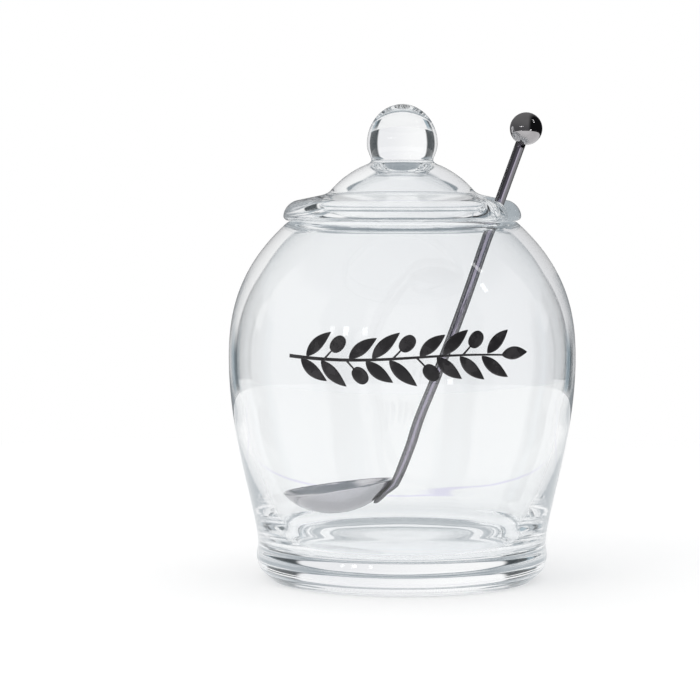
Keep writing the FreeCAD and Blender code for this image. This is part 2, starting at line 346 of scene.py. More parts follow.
# ----------------------------------------------------------------- finishes
class NodeBench:
    """A short way to lay out and join shader nodes."""

    def __init__(self, tree: bpy.types.NodeTree) -> None:
        """Clear a node tree and take it over."""
        self.tree = tree
        tree.nodes.clear()

    def add(self, kind: str, inputs: dict[str | int, object] | None = None,
            **settings: object) -> Node:
        """Add one node.

        Args:
            kind: The node's type.
            inputs: Values or sockets for its inputs, by name or number.
            **settings: Properties of the node itself.

        Returns:
            The new node.
        """
        node = self.tree.nodes.new(kind)
        for key, value in settings.items():
            setattr(node, key, value)
        for key, value in (inputs or {}).items():
            if isinstance(value, bpy.types.NodeSocket):
                self.tree.links.new(value, node.inputs[key])
            else:
                node.inputs[key].default_value = value
        return node

    def math(self, operation: str, *values: float | Socket) -> Socket:
        """Add a Math node.

        Args:
            operation: What it does.
            *values: Its inputs in order.

        Returns:
            Its output.
        """
        inputs = dict(enumerate(values))
        return self.add("ShaderNodeMath", inputs, operation=operation).outputs[0]

    def ramp(self, value: Socket, low: float, high: float,
             out_low: float = 0.0, out_high: float = 1.0) -> Socket:
        """Add a smooth step between two levels.

        Args:
            value: What is mapped.
            low: The step starts here.
            high: The step ends here.
            out_low: The result at and below its start.
            out_high: The result at and above its end.

        Returns:
            The mapped value.
        """
        inputs = {0: value, 1: low, 2: high, 3: out_low, 4: out_high}
        node = self.add("ShaderNodeMapRange", inputs, interpolation_type="SMOOTHSTEP")
        return node.outputs[0]

    def mix(self, share: float | Socket, first: object, second: object) -> Socket:
        """Add a colour mix.

        Args:
            share: How much of the second colour shows.
            first: A colour or a socket.
            second: A colour or a socket.

        Returns:
            The mixed colour.
        """
        colours = [(*c, 1.0) if isinstance(c, tuple) else c for c in (first, second)]
        inputs = {0: share, 6: colours[0], 7: colours[1]}
        return self.add("ShaderNodeMix", inputs, data_type="RGBA").outputs[2]

    def noise(self, scale: float, stretch: Point3 = EVEN, detail: float = 2.0) -> Socket:
        """Add a noise that is fixed to the piece.

        Args:
            scale: Bumps per metre.
            stretch: Factors on the three axes.
            detail: How many octaves.

        Returns:
            The noise, from 0 to 1.
        """
        place = self.add("ShaderNodeTexCoord").outputs["Object"]
        mapping = self.add("ShaderNodeMapping", {"Vector": place, "Scale": stretch})
        inputs = {"Vector": mapping.outputs[0], "Scale": scale, "Detail": detail}
        return self.add("ShaderNodeTexNoise", inputs).outputs[0]

    def place(self, kind: str = "Object") -> Mapping[str, Socket]:
        """The X, Y and Z of a place on the piece, or of a view of the world."""
        place = self.add("ShaderNodeTexCoord").outputs[kind]
        return self.add("ShaderNodeSeparateXYZ", {0: place}).outputs

    def path(self) -> Mapping[str, Socket]:
        """What kind of ray is looking, and how far it has come."""
        return self.add("ShaderNodeLightPath").outputs

    def distance(self, value: Socket, middle: float) -> Socket:
        """How far a value is from a middle one."""
        return self.math("ABSOLUTE", self.math("SUBTRACT", value, middle))

    def bump(self, height: Socket, depth: float, strength: float | Socket = 1.0,
             **over: Socket) -> Socket:
        """Add a bump.

        Args:
            height: The relief, from 0 to 1.
            depth: Its depth in metres.
            strength: How much of it shows.
            **over: A Normal to lay it over.

        Returns:
            The bumped normal.
        """
        inputs = {"Height": height, "Distance": depth, "Strength": strength, **over}
        return self.add("ShaderNodeBump", inputs).outputs[0]

    def blend(self, share: Socket, first: Node, second: Node) -> Node:
        """Mix two shaders by a share of the second."""
        inputs = {0: share, 1: first.outputs[0], 2: second.outputs[0]}
        return self.add("ShaderNodeMixShader", inputs)

    def show(self, shader: Node, kind: str = "Material") -> None:
        """Send a shader to the material's or the world's output."""
        self.add("ShaderNodeOutput" + kind, {"Surface": shader.outputs[0]})


@dataclass(frozen=True)
class Finish:
    """What a piece is made of."""

    name: str

    def material(self) -> bpy.types.Material:
        """The finish's material, made once.

        Returns:
            The material.
        """
        made = bpy.data.materials.get(self.name)
        if made is None:
            made = bpy.data.materials.new(self.name)
            made.use_nodes = True
            self.lay_out(NodeBench(made.node_tree))
        return made

    def lay_out(self, bench: NodeBench) -> None:
        """Lay out the finish's nodes."""
        raise NotImplementedError


@dataclass(frozen=True)
class ClearGlass(Finish):
    """Clear glass with faint waves, fine drawn rings and a film of handling."""

    tint: Colour = (0.975, 0.985, 0.99)
    ior: float = 1.5
    wave_scale: float = 38.0
    wave_depth: float = 0.00006
    ring_scale: float = 55.0
    ring_depth: float = 0.00001
    ring_top: float = 0.05
    ring_fade: float = 0.12
    film_scale: float = 22.0
    film: float = 0.012
    shade: Colour = (0.93, 0.94, 0.95)
    # Colour of the painted glow that the glass gives rays past the deepest bounce
    depth_glow_colour: Colour = (0.40, 0.44, 0.47)
    deepest: float = 11.5

    def lay_out(self, bench: NodeBench) -> None:
        """Lay out the glass: bumps on its skin, light that passes to the floor, and a painted grey
        glow for rays past the deepest bounce.

        Args:
            bench: Where the nodes go.
        """
        waves = bench.noise(self.wave_scale, (1.0, 1.0, 0.6))
        rings = bench.noise(self.ring_scale, (0.35, 0.35, 9.0))
        near_foot = bench.ramp(bench.place()["Z"], 0.2 * self.ring_top, self.ring_top,
                               1.0, self.ring_fade)
        waved = bench.bump(waves, self.wave_depth)
        film = bench.ramp(bench.noise(self.film_scale, detail=4.0), 0.45, 0.75, 0.0, self.film)
        glass = bench.add(
            "ShaderNodeBsdfPrincipled",
            {"Base Color": (*self.tint, 1.0), "Roughness": film, "IOR": self.ior,
             "Transmission Weight": 1.0,
             "Normal": bench.bump(rings, self.ring_depth, near_foot, Normal=waved)},
        )
        clear = bench.add("ShaderNodeBsdfTransparent", {"Color": (*self.shade, 1.0)})
        # Past the deepest bounce the glass glows a fixed grey: painted light in place of what such
        # rays would still carry
        painted_depth_glow = bench.add("ShaderNodeEmission", {"Color": (*self.depth_glow_colour, 1.0)})
        path = bench.path()
        spent = bench.math("GREATER_THAN", path["Ray Depth"], self.deepest)
        lit = bench.blend(spent, glass, painted_depth_glow)
        bench.show(bench.blend(path["Is Shadow Ray"], lit, clear))


@dataclass(frozen=True)
class Steel(Finish):
    """Stainless steel, from mirror bright to satin."""

    colour: Colour = (0.56, 0.55, 0.56)
    roughness: Span = (0.04, 0.10)
    grain_scale: float = 900.0
    grain_depth: float = 0.000002
    grain_dark: float = 0.86
    cloud_scale: float = 160.0
    # Gain of the painted highlight where the skin faces the view, and how far it reaches
    painted_highlight: Colour = WHITE
    painted_highlight_edge: Span = (0.03, 0.10)
    # Share of the colour left on the flanks, which is painted shade, and how far it reaches
    flank: float = 1.0
    flank_edge: Span = (0.22, 0.50)

    def lay_out(self, bench: NodeBench) -> None:
        """Lay out the steel: polishing grain, a painted highlight where the skin faces the view and
        painted shade on its flanks.

        Args:
            bench: Where the nodes go.
        """
        grain = bench.noise(self.grain_scale, detail=3.0)
        rough = bench.ramp(bench.noise(self.cloud_scale, detail=3.0), 0.3, 0.7, *self.roughness)
        # dim carries the painted flank shade and bright the painted highlight; darker is the
        # polishing grain
        darker, dim = (tuple(part * share for part in self.colour)
                       for share in (self.grain_dark, self.flank))
        bright = tuple(min(1.0, part * gain) for part, gain in zip(self.colour, self.painted_highlight))
        turned = bench.add("ShaderNodeLayerWeight", {"Blend": 0.5}).outputs["Facing"]
        tone = bench.mix(grain, darker, self.colour)
        tone = bench.mix(bench.ramp(turned, *self.painted_highlight_edge), bright, tone)
        tone = bench.mix(bench.ramp(turned, *self.flank_edge), tone, dim)
        bench.show(bench.add(
            "ShaderNodeBsdfPrincipled",
            {"Base Color": tone, "Metallic": 1.0, "Roughness": rough,
             "Normal": bench.bump(grain, self.grain_depth)},
        ))


@dataclass(frozen=True)
class PrintInk(Finish):
    """Fired black enamel, thinner in patches."""

    colour: Colour = (0.022, 0.021, 0.023)
    thin_colour: Colour = (0.045, 0.043, 0.046)
    density_scale: float = 240.0
    peel_scale: float = 2600.0
    peel_depth: float = 0.000004

    def lay_out(self, bench: NodeBench) -> None:
        """Lay out the enamel: uneven density and a fine orange peel.

        Args:
            bench: Where the nodes go.
        """
        density = bench.ramp(bench.noise(self.density_scale, detail=4.0), 0.4, 0.75)
        peel = bench.noise(self.peel_scale)
        bench.show(bench.add(
            "ShaderNodeBsdfPrincipled",
            {"Base Color": bench.mix(density, self.colour, self.thin_colour),
             "Roughness": bench.ramp(density, 0.0, 1.0, 0.22, 0.36),
             "Normal": bench.bump(peel, self.peel_depth, 0.6)},
        ))


@dataclass(frozen=True)
class PaleGround(Finish):
    """A white sweep that keeps the shadow of what stands on it."""

    colour: float = 0.82
    mottle_scale: float = 9.0
    glow: float = 0.3
    glow_through: float = 0.24
    # A painted pool of light under the jar, seen only through glass, and how far it reaches
    painted_light_under_jar: float = 0.25
    painted_light_radius: Span = (0.034, 0.056)
    # A painted darker, purple line in the glow seen through glass: where it lies, how wide, and its
    # tint
    tinted_line_y: float = 0.105
    tinted_line_width: float = 0.004
    tinted_line_colour: Colour = (0.35, 0.25, 0.75)

    def lay_out(self, bench: NodeBench) -> None:
        """Lay out the ground: matt paint, and a glow for rays that look at it.

        Rays through glass see a painted pool of light under the jar and one painted darker, purple
        line.

        Args:
            bench: Where the nodes go.
        """
        mottle = bench.noise(self.mottle_scale, detail=3.0)
        paints = [(self.colour * share,) * 3 for share in (0.99, 1.0)]
        matt = bench.add("ShaderNodeBsdfDiffuse", {"Color": bench.mix(mottle, *paints)})
        path = bench.path()
        through = path["Is Transmission Ray"]
        seen = bench.math("MAXIMUM", path["Is Camera Ray"], path["Is Glossy Ray"])
        direct = bench.math("MULTIPLY", seen, self.glow)
        strength = bench.math("MULTIPLY_ADD", through, self.glow_through - self.glow, direct)
        place = bench.place()
        squares = [bench.math("MULTIPLY", place[axis], place[axis]) for axis in "XY"]
        radius = bench.math("SQRT", bench.math("ADD", *squares))
        # The painted pool of light brightens the floor under the jar for rays through glass
        under = bench.ramp(radius, *self.painted_light_radius, self.painted_light_under_jar, 0.0)
        strength = bench.math("MULTIPLY_ADD", through, under, strength)
        # The painted purple line tints the glow that rays through glass see
        fold = bench.ramp(bench.distance(place["Y"], self.tinted_line_y),
                          0.2 * self.tinted_line_width, self.tinted_line_width, 1.0, 0.0)
        tint = bench.mix(bench.math("MULTIPLY", fold, through), WHITE, self.tinted_line_colour)
        glow = bench.add("ShaderNodeEmission", {"Color": tint, "Strength": strength})
        bench.show(bench.add("ShaderNodeAddShader",
                             {0: matt.outputs[0], 1: glow.outputs[0]}))


# ---------------------------------------------------------------- jar's body
@dataclass
class JarBody:
    """The round-bellied jar on its thick foot, one closed skin of glass."""

    belly_z: float = 65.0
    waist: Point = (42.6, 10.5)
    foot: Point = (43.0, 7.0)
    contact_radius: float = 38.6
    contact_width: float = 3.2
    punt_height: float = 1.6
    mouth_radius: float = 30.0
    lip_overhang: float = 4.9
    lip_drop: float = 1.5
    lip_rounds: Point = (1.1, 2.5)
    throat_length: float = 0.9
    shoulder_angle: float = 136.9
    shoulder_wall: float = 3.4
    wall: float = 2.3
    heel_wall: float = 3.2
    heel_z: float = 45.0
    heel_lean: float = 10.9
    flare_wall: float = 5.6
    flare_z: float = 20.4
    flare_lean: float = 21.0
    well_wall: float = 6.35
    well_z: float = 16.1
    well_lean: float = 15.3
    well_round: float = 9.1
    base_thickness: float = 8.9
    floor_rise: float = 0.3
    flank_bulge: float = 1.28
    columns: int = 288

    def __post_init__(self) -> None:
        """Take the overall sizes from the CAD node."""
        low, high = node_box("jar")
        self.height = high.z - low.z
        self.belly_radius = (high.x - low.x) / 2

    @property
    def shoulder(self) -> Point:
        """Where the shoulder ends below the lip."""
        return self.mouth_radius + self.lip_overhang, self.height - self.lip_drop

    def outside(self) -> Outline:
        """The outer outline, from the middle of the punt to the lip.

        Returns:
            The outline, which stops at the lip.
        """
        belly = (self.belly_radius, self.belly_z)
        shape = Outline(0.0, self.punt_height)
        shape.sweep(0, (self.contact_radius - self.contact_width, 0.0), -12, (0.5, 0.25), 24)
        shape.line((self.contact_radius, 0.0), 3)
        shape.sweep(72, self.foot, 90, (0.13, 0.62), 24)
        shape.sweep(90, self.waist, 90, (0.45, 0.45), 12)
        shape.sweep(90, belly, 90, (0.145, 0.424), 56)
        shape.sweep(90, self.shoulder, self.shoulder_angle, (0.277, 0.467), 44)
        lip_outer = (self.shoulder[0] - self.lip_rounds[1], self.height)
        return shape.sweep(self.shoulder_angle, lip_outer, 180, (0.35, 0.35), 10)

    def inside_flank(self, wall: float, height: float) -> Point:
        """Find a point inside the flank, between waist and belly.

        Args:
            wall: How thick the glass is there.
            height: The point's height.

        Returns:
            The point.
        """
        share = (height - self.waist[1]) / (self.belly_z - self.waist[1])
        outer = self.waist[0] + (self.belly_radius - self.waist[0]) * share * self.flank_bulge
        return outer - wall, height

    def inside(self, shape: Outline) -> Outline:
        """Run an outline from the lip down to the middle of the floor.

        Args:
            shape: The outline, which has reached the lip.

        Returns:
            The same outline.
        """
        lean = math.radians(self.shoulder_angle - 90)
        shoulder_top = (
            self.shoulder[0] - math.cos(lean) * self.shoulder_wall,
            self.shoulder[1] - math.sin(lean) * self.shoulder_wall,
        )
        throat = self.height - self.lip_rounds[0] - self.throat_length
        heel_top = self.inside_flank(self.heel_wall, self.heel_z)
        flare = self.inside_flank(self.flare_wall, self.flare_z)
        well = self.inside_flank(self.well_wall, self.well_z)
        floor_edge = (well[0] - self.well_round, self.base_thickness + self.floor_rise)
        floor_heading = 1.9 * math.degrees(math.atan2(self.floor_rise, floor_edge[0]))
        heel_down, flare_down = -90 - self.heel_lean, -90 - self.flare_lean
        well_down = -90 - self.well_lean
        mouth = self.mouth_radius
        shape.line((mouth + self.lip_rounds[0], self.height), 2)
        shape.quarter((mouth, self.height), (mouth, self.height - self.lip_rounds[0]), 8)
        shape.line((mouth, throat), 2)
        shape.sweep(-90, shoulder_top, self.shoulder_angle - 180, (0.3, 0.4), 12)
        shape.sweep(self.shoulder_angle - 180, (self.belly_radius - self.wall, self.belly_z),
                    -90, (0.46, 0.28), 44)
        shape.sweep(-90, heel_top, heel_down, (0.42, 0.35), 36)
        shape.sweep(heel_down, flare, flare_down, (0.36, 0.36), 16)
        shape.sweep(flare_down, well, well_down, (0.36, 0.36), 16)
        shape.sweep(well_down, floor_edge, floor_heading - 180, (0.5, 0.5), 24)
        return shape.sweep(floor_heading - 180, (0.0, self.base_thickness), 180,
                           (0.35, 0.35), 24)

    def build(self, finish: Finish) -> bpy.types.Object:
        """Blow the jar and let it stand for its CAD node.

        Args:
            finish: What it is made of.

        Returns:
            The dressed jar.
        """
        skin_mesh = RingMesh.turned(self.inside(self.outside()), around(self.columns))
        piece = skin_mesh.build("jar_glass", Slot.JAR_GLASS, finish)
        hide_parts("jar")
        return piece

    def outer_radius(self, height: Array) -> Array:
        """Measure the outer wall.

        Args:
            height: Heights above the waist.

        Returns:
            The wall's radius at each height.
        """
        points = self.outside().array()
        points = points[points[:, 1] >= self.waist[1]]
        return np.interp(height, points[:, 1], points[:, 0])


# ---------------------------------------------------------------------- lid
@dataclass
class DomedLid:
    """The pressed lid: knob, hollow dome, rolled rim, plug ring and notch."""

    rim_thickness: float = 5.95
    rim_top_slope: float = 12.0
    rim_top_round: float = 4.0
    rim_upright_share: float = 0.25
    rim_bottom_round: float = 1.5
    dome_ball: float = 27.7
    dome_rise: float = 18.6
    dome_foot: float = 21.0
    dome_sweep: float = 3.5
    dome_wall: float = 3.8
    knob_radius: float = 10.4
    knob_crown: float = 11.7
    knob_below: float = 4.6
    neck_radius: float = 9.1
    neck_sweep: float = 2.4
    plug_outer: float = 28.1
    plug_thickness: float = 3.0
    plug_depth: float = 3.1
    plug_round: float = 0.9
    hollow_share: float = 0.71
    notch_azimuth: float = -20.0
    notch_back: float = 24.26
    notch_half: float = 3.5
    corner: float = 2.4
    notch_top_round: float = 3.0
    inner_ring: float = 19.0
    ring_margin: float = 0.2
    ring_start: float = 0.9
    ring_wall: float = 0.25
    rim_spacing: float = 0.65
    notch_spacing: float = 0.33
    gather: float = 60.0
    top_rows: int = 64
    under_rows: int = 104

    def __post_init__(self) -> None:
        """Take the overall sizes from the CAD nodes."""
        low, high = node_box("lid")
        self.lip_z = node_box("jar")[1].z
        self.radius = (high.x - low.x) / 2
        self.seat = low.z + self.plug_depth
        self.knob_top = high.z
        self.slot_x = self.notch_back + self.notch_half
        self.ball_z = self.lip_z + self.dome_rise - self.dome_ball
        flare = self.notch_half + self.corner
        self.corner_middle = np.array(
            (math.sqrt((self.radius - self.corner) ** 2 - flare ** 2), flare)
        )

    def top_outline(self) -> Outline:
        """The outside from the knob's top to the rim, with no rounding there.

        Returns:
            The outline.
        """
        slope = math.asin((self.neck_radius + self.neck_sweep) / self.dome_ball)
        foot_slope = math.asin(self.dome_foot / self.dome_ball)
        knob_z = self.knob_top - self.knob_crown
        rim_top = (self.radius - self.rim_top_round, self.seat + self.rim_thickness)
        sweep_end = self.dome_foot + self.dome_sweep
        fall = math.tan(math.radians(self.rim_top_slope))
        shape = Outline(0.0, self.knob_top)
        shape.quarter((self.knob_radius, self.knob_top), (self.knob_radius, knob_z), 40)
        shape.sweep(-90, (self.neck_radius, knob_z - self.knob_below), -90, (0.45, 0.12), 18)
        shape.sweep(
            -90,
            (self.neck_radius + self.neck_sweep,
             self.ball_z + self.dome_ball * math.cos(slope)),
            -math.degrees(slope), (0.35, 0.35), 14,
        )
        shape.ball(self.ball_z, self.dome_ball, self.dome_foot, 26)
        shape.sweep(
            -math.degrees(foot_slope),
            (sweep_end, rim_top[1] + (rim_top[0] - sweep_end) * fall),
            -self.rim_top_slope, (0.35, 0.35), 16,
        )
        edge = (self.radius + 1, rim_top[1] - (self.radius + 1 - rim_top[0]) * fall)
        return shape.line(edge, 4)

    def hollow_outline(self) -> Outline:
        """The underside from the plug ring's foot up to the hollow's crown.

        Returns:
            The outline.
        """
        plug_inner = self.plug_outer - self.plug_thickness
        foot = self.seat - self.plug_depth
        ball = self.dome_ball - self.dome_wall
        end = self.hollow_share * ball
        slope = math.degrees(math.asin(self.hollow_share))
        shape = Outline(plug_inner + self.plug_round, foot)
        shape.quarter((plug_inner, foot), (plug_inner, foot + self.plug_round), 8)
        shape.sweep(90, (end, self.ball_z + ball * math.cos(math.asin(self.hollow_share))),
                    180 - slope, (0.35, 0.35), 30)
        return shape.ball(self.ball_z, ball, 0.0, 36)

    def contour(self) -> tuple[Array, Array]:
        """The lid's edge in plan, with the notch towards +X.

        Returns:
            Its points and the directions from them into the glass.
        """
        half, slot = self.notch_half, np.array((self.slot_x, 0.0))
        mid = self.corner_middle
        lean = math.atan2(mid[1], mid[0])

        def arc(middle: Array, radius: float, start: float, end: float,
                spacing: float, inwards: float) -> tuple[Array, Array]:
            """Points and inward directions of one arc of the contour.

            Args:
                middle: The middle of its circle.
                radius: The radius of its circle.
                start: The angle it starts at, in radians.
                end: The angle it stops short of.
                spacing: The wanted distance between points.
                inwards: 1 where the glass is outside the circle, -1 inside.

            Returns:
                The points, and the directions into the glass.
            """
            count = max(4, round(abs(end - start) * radius / spacing))
            angle = np.linspace(start, end, count, endpoint=False)
            way = np.stack([np.cos(angle), np.sin(angle)], axis=1)
            return middle + way * radius, way * inwards

        def wall(start: float, end: float, side: int) -> tuple[Array, Array]:
            """Points and inward directions of one straight wall of the notch.

            Args:
                start: Where it starts along X.
                end: Where it stops short of.
                side: 1 on the left of the notch, -1 on the right.

            Returns:
                The points, and the directions into the glass.
            """
            count = max(3, round(abs(end - start) / self.notch_spacing))
            x = np.linspace(start, end, count, endpoint=False)
            points = np.stack([x, np.full(count, side * half)], axis=1)
            return points, np.tile((0.0, float(side)), (count, 1))

        low_mid = mid * (1, -1)
        turn = 2 * math.pi
        parts = [
            arc(np.zeros(2), self.radius, lean, turn - lean, self.rim_spacing, -1),
            arc(low_mid, self.corner, -lean, math.pi / 2, self.notch_spacing, -1),
            wall(mid[0], self.slot_x, -1),
            arc(slot, half, -math.pi / 2, -1.5 * math.pi, self.notch_spacing, 1),
            wall(self.slot_x, mid[0], 1),
            arc(mid, self.corner, -math.pi / 2, lean, self.notch_spacing, -1),
        ]
        return np.concatenate([p[0] for p in parts]), np.concatenate([p[1] for p in parts])

    def inner_angles(self, edge: Array) -> Array:
        """Spread the columns over the inner ring.

        Args:
            edge: The contour's points.

        Returns:
            One angle for each, crowded only near the notch.
        """
        gather = math.radians(self.gather)
        polar = np.arctan2(edge[:, 1], edge[:, 0])
        start = int(np.argmax((polar < 0) & (polar > -gather)))
        order = np.roll(np.arange(len(edge)), -start)
        rolled = edge[order]
        steps = np.linalg.norm(np.diff(rolled, axis=0), axis=1)
        length = np.concatenate([[0.0], np.cumsum(steps)])
        rolled_polar = np.unwrap(polar[order])
        inside = np.abs(np.arctan2(rolled[:, 1], rolled[:, 0])) <= gather
        stop = int(np.argmin(inside))
        near = length[:stop] / length[stop - 1]
        first, last = rolled_polar[0], np.arctan2(rolled[stop - 1, 1], rolled[stop - 1, 0])
        angles = np.empty(len(edge))
        angles[:stop] = first + (last - first) * near
        angles[stop:] = np.unwrap(np.mod(polar[order][stop:], 2 * math.pi))
        made = np.empty(len(edge))
        made[order] = angles
        return made

    def depth_inside(self, plan: Array) -> tuple[Array, Array]:
        """Measure how far plan points are from the lid's edge.

        Args:
            plan: Points, their last axis being x and y.

        Returns:
            The distance, and the share of the notch in the nearest edge.
        """
        x, y = plan[..., 0], np.abs(plan[..., 1])
        rim = self.radius - np.hypot(x, y)
        slot = np.hypot(np.minimum(x - self.slot_x, 0.0), y) - self.notch_half
        cut = self.corner
        round_off = cut - np.hypot(x - self.corner_middle[0], y - self.corner_middle[1])
        near = np.where((rim < cut) & (slot < cut), round_off, np.minimum(rim, slot))
        rim, slot = np.maximum(rim, 0.0), np.maximum(slot, 0.0)
        share = rim ** 2 / (rim ** 2 + slot ** 2 + 1e-9)
        return np.maximum(near, 0.0), share

    def plan_grid(self, edge: Array, inward: Array, angles: Array, rows: int,
                  fine: Callable[[Array], Array]) -> Array:
        """Lay the columns from the edge to the inner ring.

        Args:
            edge: The contour's points.
            inward: Directions from them into the glass.
            angles: The columns' angles on the inner ring.
            rows: How many rows, both ends among them.
            fine: Gives the wanted row spacing at plan points.

        Returns:
            Plan points by row and column.
        """
        way = np.stack([np.cos(angles), np.sin(angles)], axis=1)
        ring = way * self.inner_ring
        pull = np.linalg.norm(edge - ring, axis=1, keepdims=True) / 3
        t = np.linspace(0, 1, 600)[:, None, None] ** 2
        track = (
            (1 - t) ** 3 * edge
            + 3 * t * (1 - t) ** 2 * (edge + inward * pull)
            + 3 * t ** 2 * (1 - t) * (ring + way * pull)
            + t ** 3 * ring
        )
        steps = np.linalg.norm(np.diff(track, axis=0), axis=2)
        weight = steps / fine((track[1:] + track[:-1]) / 2)
        total = np.concatenate([np.zeros((1, len(edge))), np.cumsum(weight, axis=0)])
        grid = np.empty((rows, len(edge), 2))
        for column in range(len(edge)):
            wanted = np.linspace(0, total[-1, column], rows)
            for axis in range(2):
                grid[:, column, axis] = np.interp(
                    wanted, total[:, column], track[:, column, axis]
                )
        return grid

    def heights(self, plan: Array, top: bool) -> Array:
        """Find the glass's top or underside over plan points.

        Args:
            plan: Points, their last axis being x and y.
            top: The top is wanted, not the underside.

        Returns:
            Heights in millimetres.
        """
        radius = np.hypot(plan[..., 0], plan[..., 1])
        depth, notch = self.depth_inside(plan)
        upper = self.top_outline().array()
        upper = upper[upper[:, 0] >= self.dome_foot - self.rim_top_round]
        crest = np.interp(radius, upper[:, 0], upper[:, 1])
        hollow = self.hollow_outline().array()[::-1]
        base = np.where(
            radius < self.plug_outer - self.plug_thickness,
            np.maximum(self.seat, np.interp(radius, hollow[:, 0], hollow[:, 1])),
            self.seat,
        )
        blend = np.clip((radius - self.notch_back) / (self.radius - self.notch_back), 0, 1)
        share = 0.5 + (self.rim_upright_share - 0.5) * np.sqrt(blend)
        meet = base + (crest - base) * share
        if top:
            width = self.rim_top_round + (self.notch_top_round - self.rim_top_round) * notch
            return crest - (crest - meet) * self.rounding(depth, width)
        ring = self.ring_drop(radius, hollow) * np.clip(depth / self.ring_start, 0, 1) ** 0.5
        return base + (meet - base) * self.rounding(depth, self.rim_bottom_round) - ring

    def ring_drop(self, radius: Array, hollow: Array) -> Array:
        """How far the plug ring hangs below the rim's underside.

        Args:
            radius: Distances from the axis.
            hollow: The hollow's outline, from the crown outwards.

        Returns:
            The drop at each distance.
        """
        outer, cut = self.plug_outer, self.plug_round
        inner = outer - self.plug_thickness
        foot = self.seat - self.plug_depth
        low = np.interp(radius, hollow[:, 0], hollow[:, 1])
        over = np.clip((radius - (outer - cut)) / cut, 0, 1)
        round_off = cut * (1 - np.sqrt(1 - over ** 2))
        wall = np.clip((radius - outer) / self.ring_wall, 0, 1)
        outer_part = foot + round_off + (self.seat - foot - cut) * wall
        level = np.where(radius < inner + cut, low, np.where(radius < outer - cut, foot,
                                                             outer_part))
        base = np.where(radius < inner, np.maximum(self.seat, low), self.seat)
        return np.maximum(base - level, 0.0)

    @staticmethod
    def rounding(depth: Array, width: float | Array) -> Array:
        """A quarter-ellipse edge: 1 on the contour, 0 from the width inwards."""
        short = np.clip((width - depth) / width, 0, 1)
        return 1 - np.sqrt(np.maximum(0.0, 1 - short ** 2))

    def top_spacing(self, plan: Array) -> Array:
        """Wanted row spacing on the top."""
        return 0.01 + 0.17 * np.sqrt(np.minimum(self.depth_inside(plan)[0], 5.0))

    def under_spacing(self, plan: Array) -> Array:
        """Wanted row spacing on the underside, fine at the plug ring.

        Args:
            plan: Points, their last axis being x and y.

        Returns:
            The spacing at each point.
        """
        radius = np.hypot(plan[..., 0], plan[..., 1])
        edge = 0.01 + 0.22 * np.sqrt(np.minimum(self.depth_inside(plan)[0], 4.0))
        outer = 0.03 + 0.35 * np.abs(radius - self.plug_outer - 0.12)
        inner = 0.04 + 0.35 * np.abs(radius - self.plug_outer + self.plug_thickness)
        return np.minimum(np.minimum(edge, outer), inner)

    def build(self, finish: Finish) -> bpy.types.Object:
        """Press the lid and let it stand for its CAD node.

        Args:
            finish: What it is made of.

        Returns:
            The dressed lid.
        """
        edge, inward = self.contour()
        angles = self.inner_angles(edge)
        top = self.plan_grid(edge, inward, angles, self.top_rows, self.top_spacing)
        under = self.plan_grid(edge, inward, angles, self.under_rows, self.under_spacing)
        margin = self.inner_ring - self.ring_margin
        outer = self.top_outline().array()[1:]
        outer = outer[outer[:, 0] < margin]
        hollow = self.hollow_outline().array()
        hollow = hollow[hollow[:, 0] < margin][:-1]
        way = np.stack([np.cos(angles), np.sin(angles)], axis=1)

        def turned(points: Array) -> Array:
            """Rings of the turned part inside the inner ring.

            Args:
                points: Its outline.

            Returns:
                The rings, one for each point.
            """
            plan = points[:, None, :1] * way
            level = np.repeat(points[:, None, 1:], len(angles), axis=1)
            return np.concatenate([plan, level], axis=2)

        def lifted(plan: Array, is_top: bool) -> Array:
            """Rings of the part with the notch."""
            return np.concatenate([plan, self.heights(plan, is_top)[..., None]], axis=2)

        rings = np.concatenate(
            [turned(outer), lifted(top[::-1], True), lifted(under[1:], False), turned(hollow)]
        )
        crown = np.array((0.0, 0.0, self.hollow_outline().points[-1][1]))
        poles = (np.array((0.0, 0.0, self.knob_top)), crown)
        turn = Matrix.Rotation(math.radians(self.notch_azimuth), 4, "Z")
        piece = RingMesh(rings, poles).moved(turn).build("lid_glass", Slot.LID_GLASS, finish)
        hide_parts("lid")
        return piece


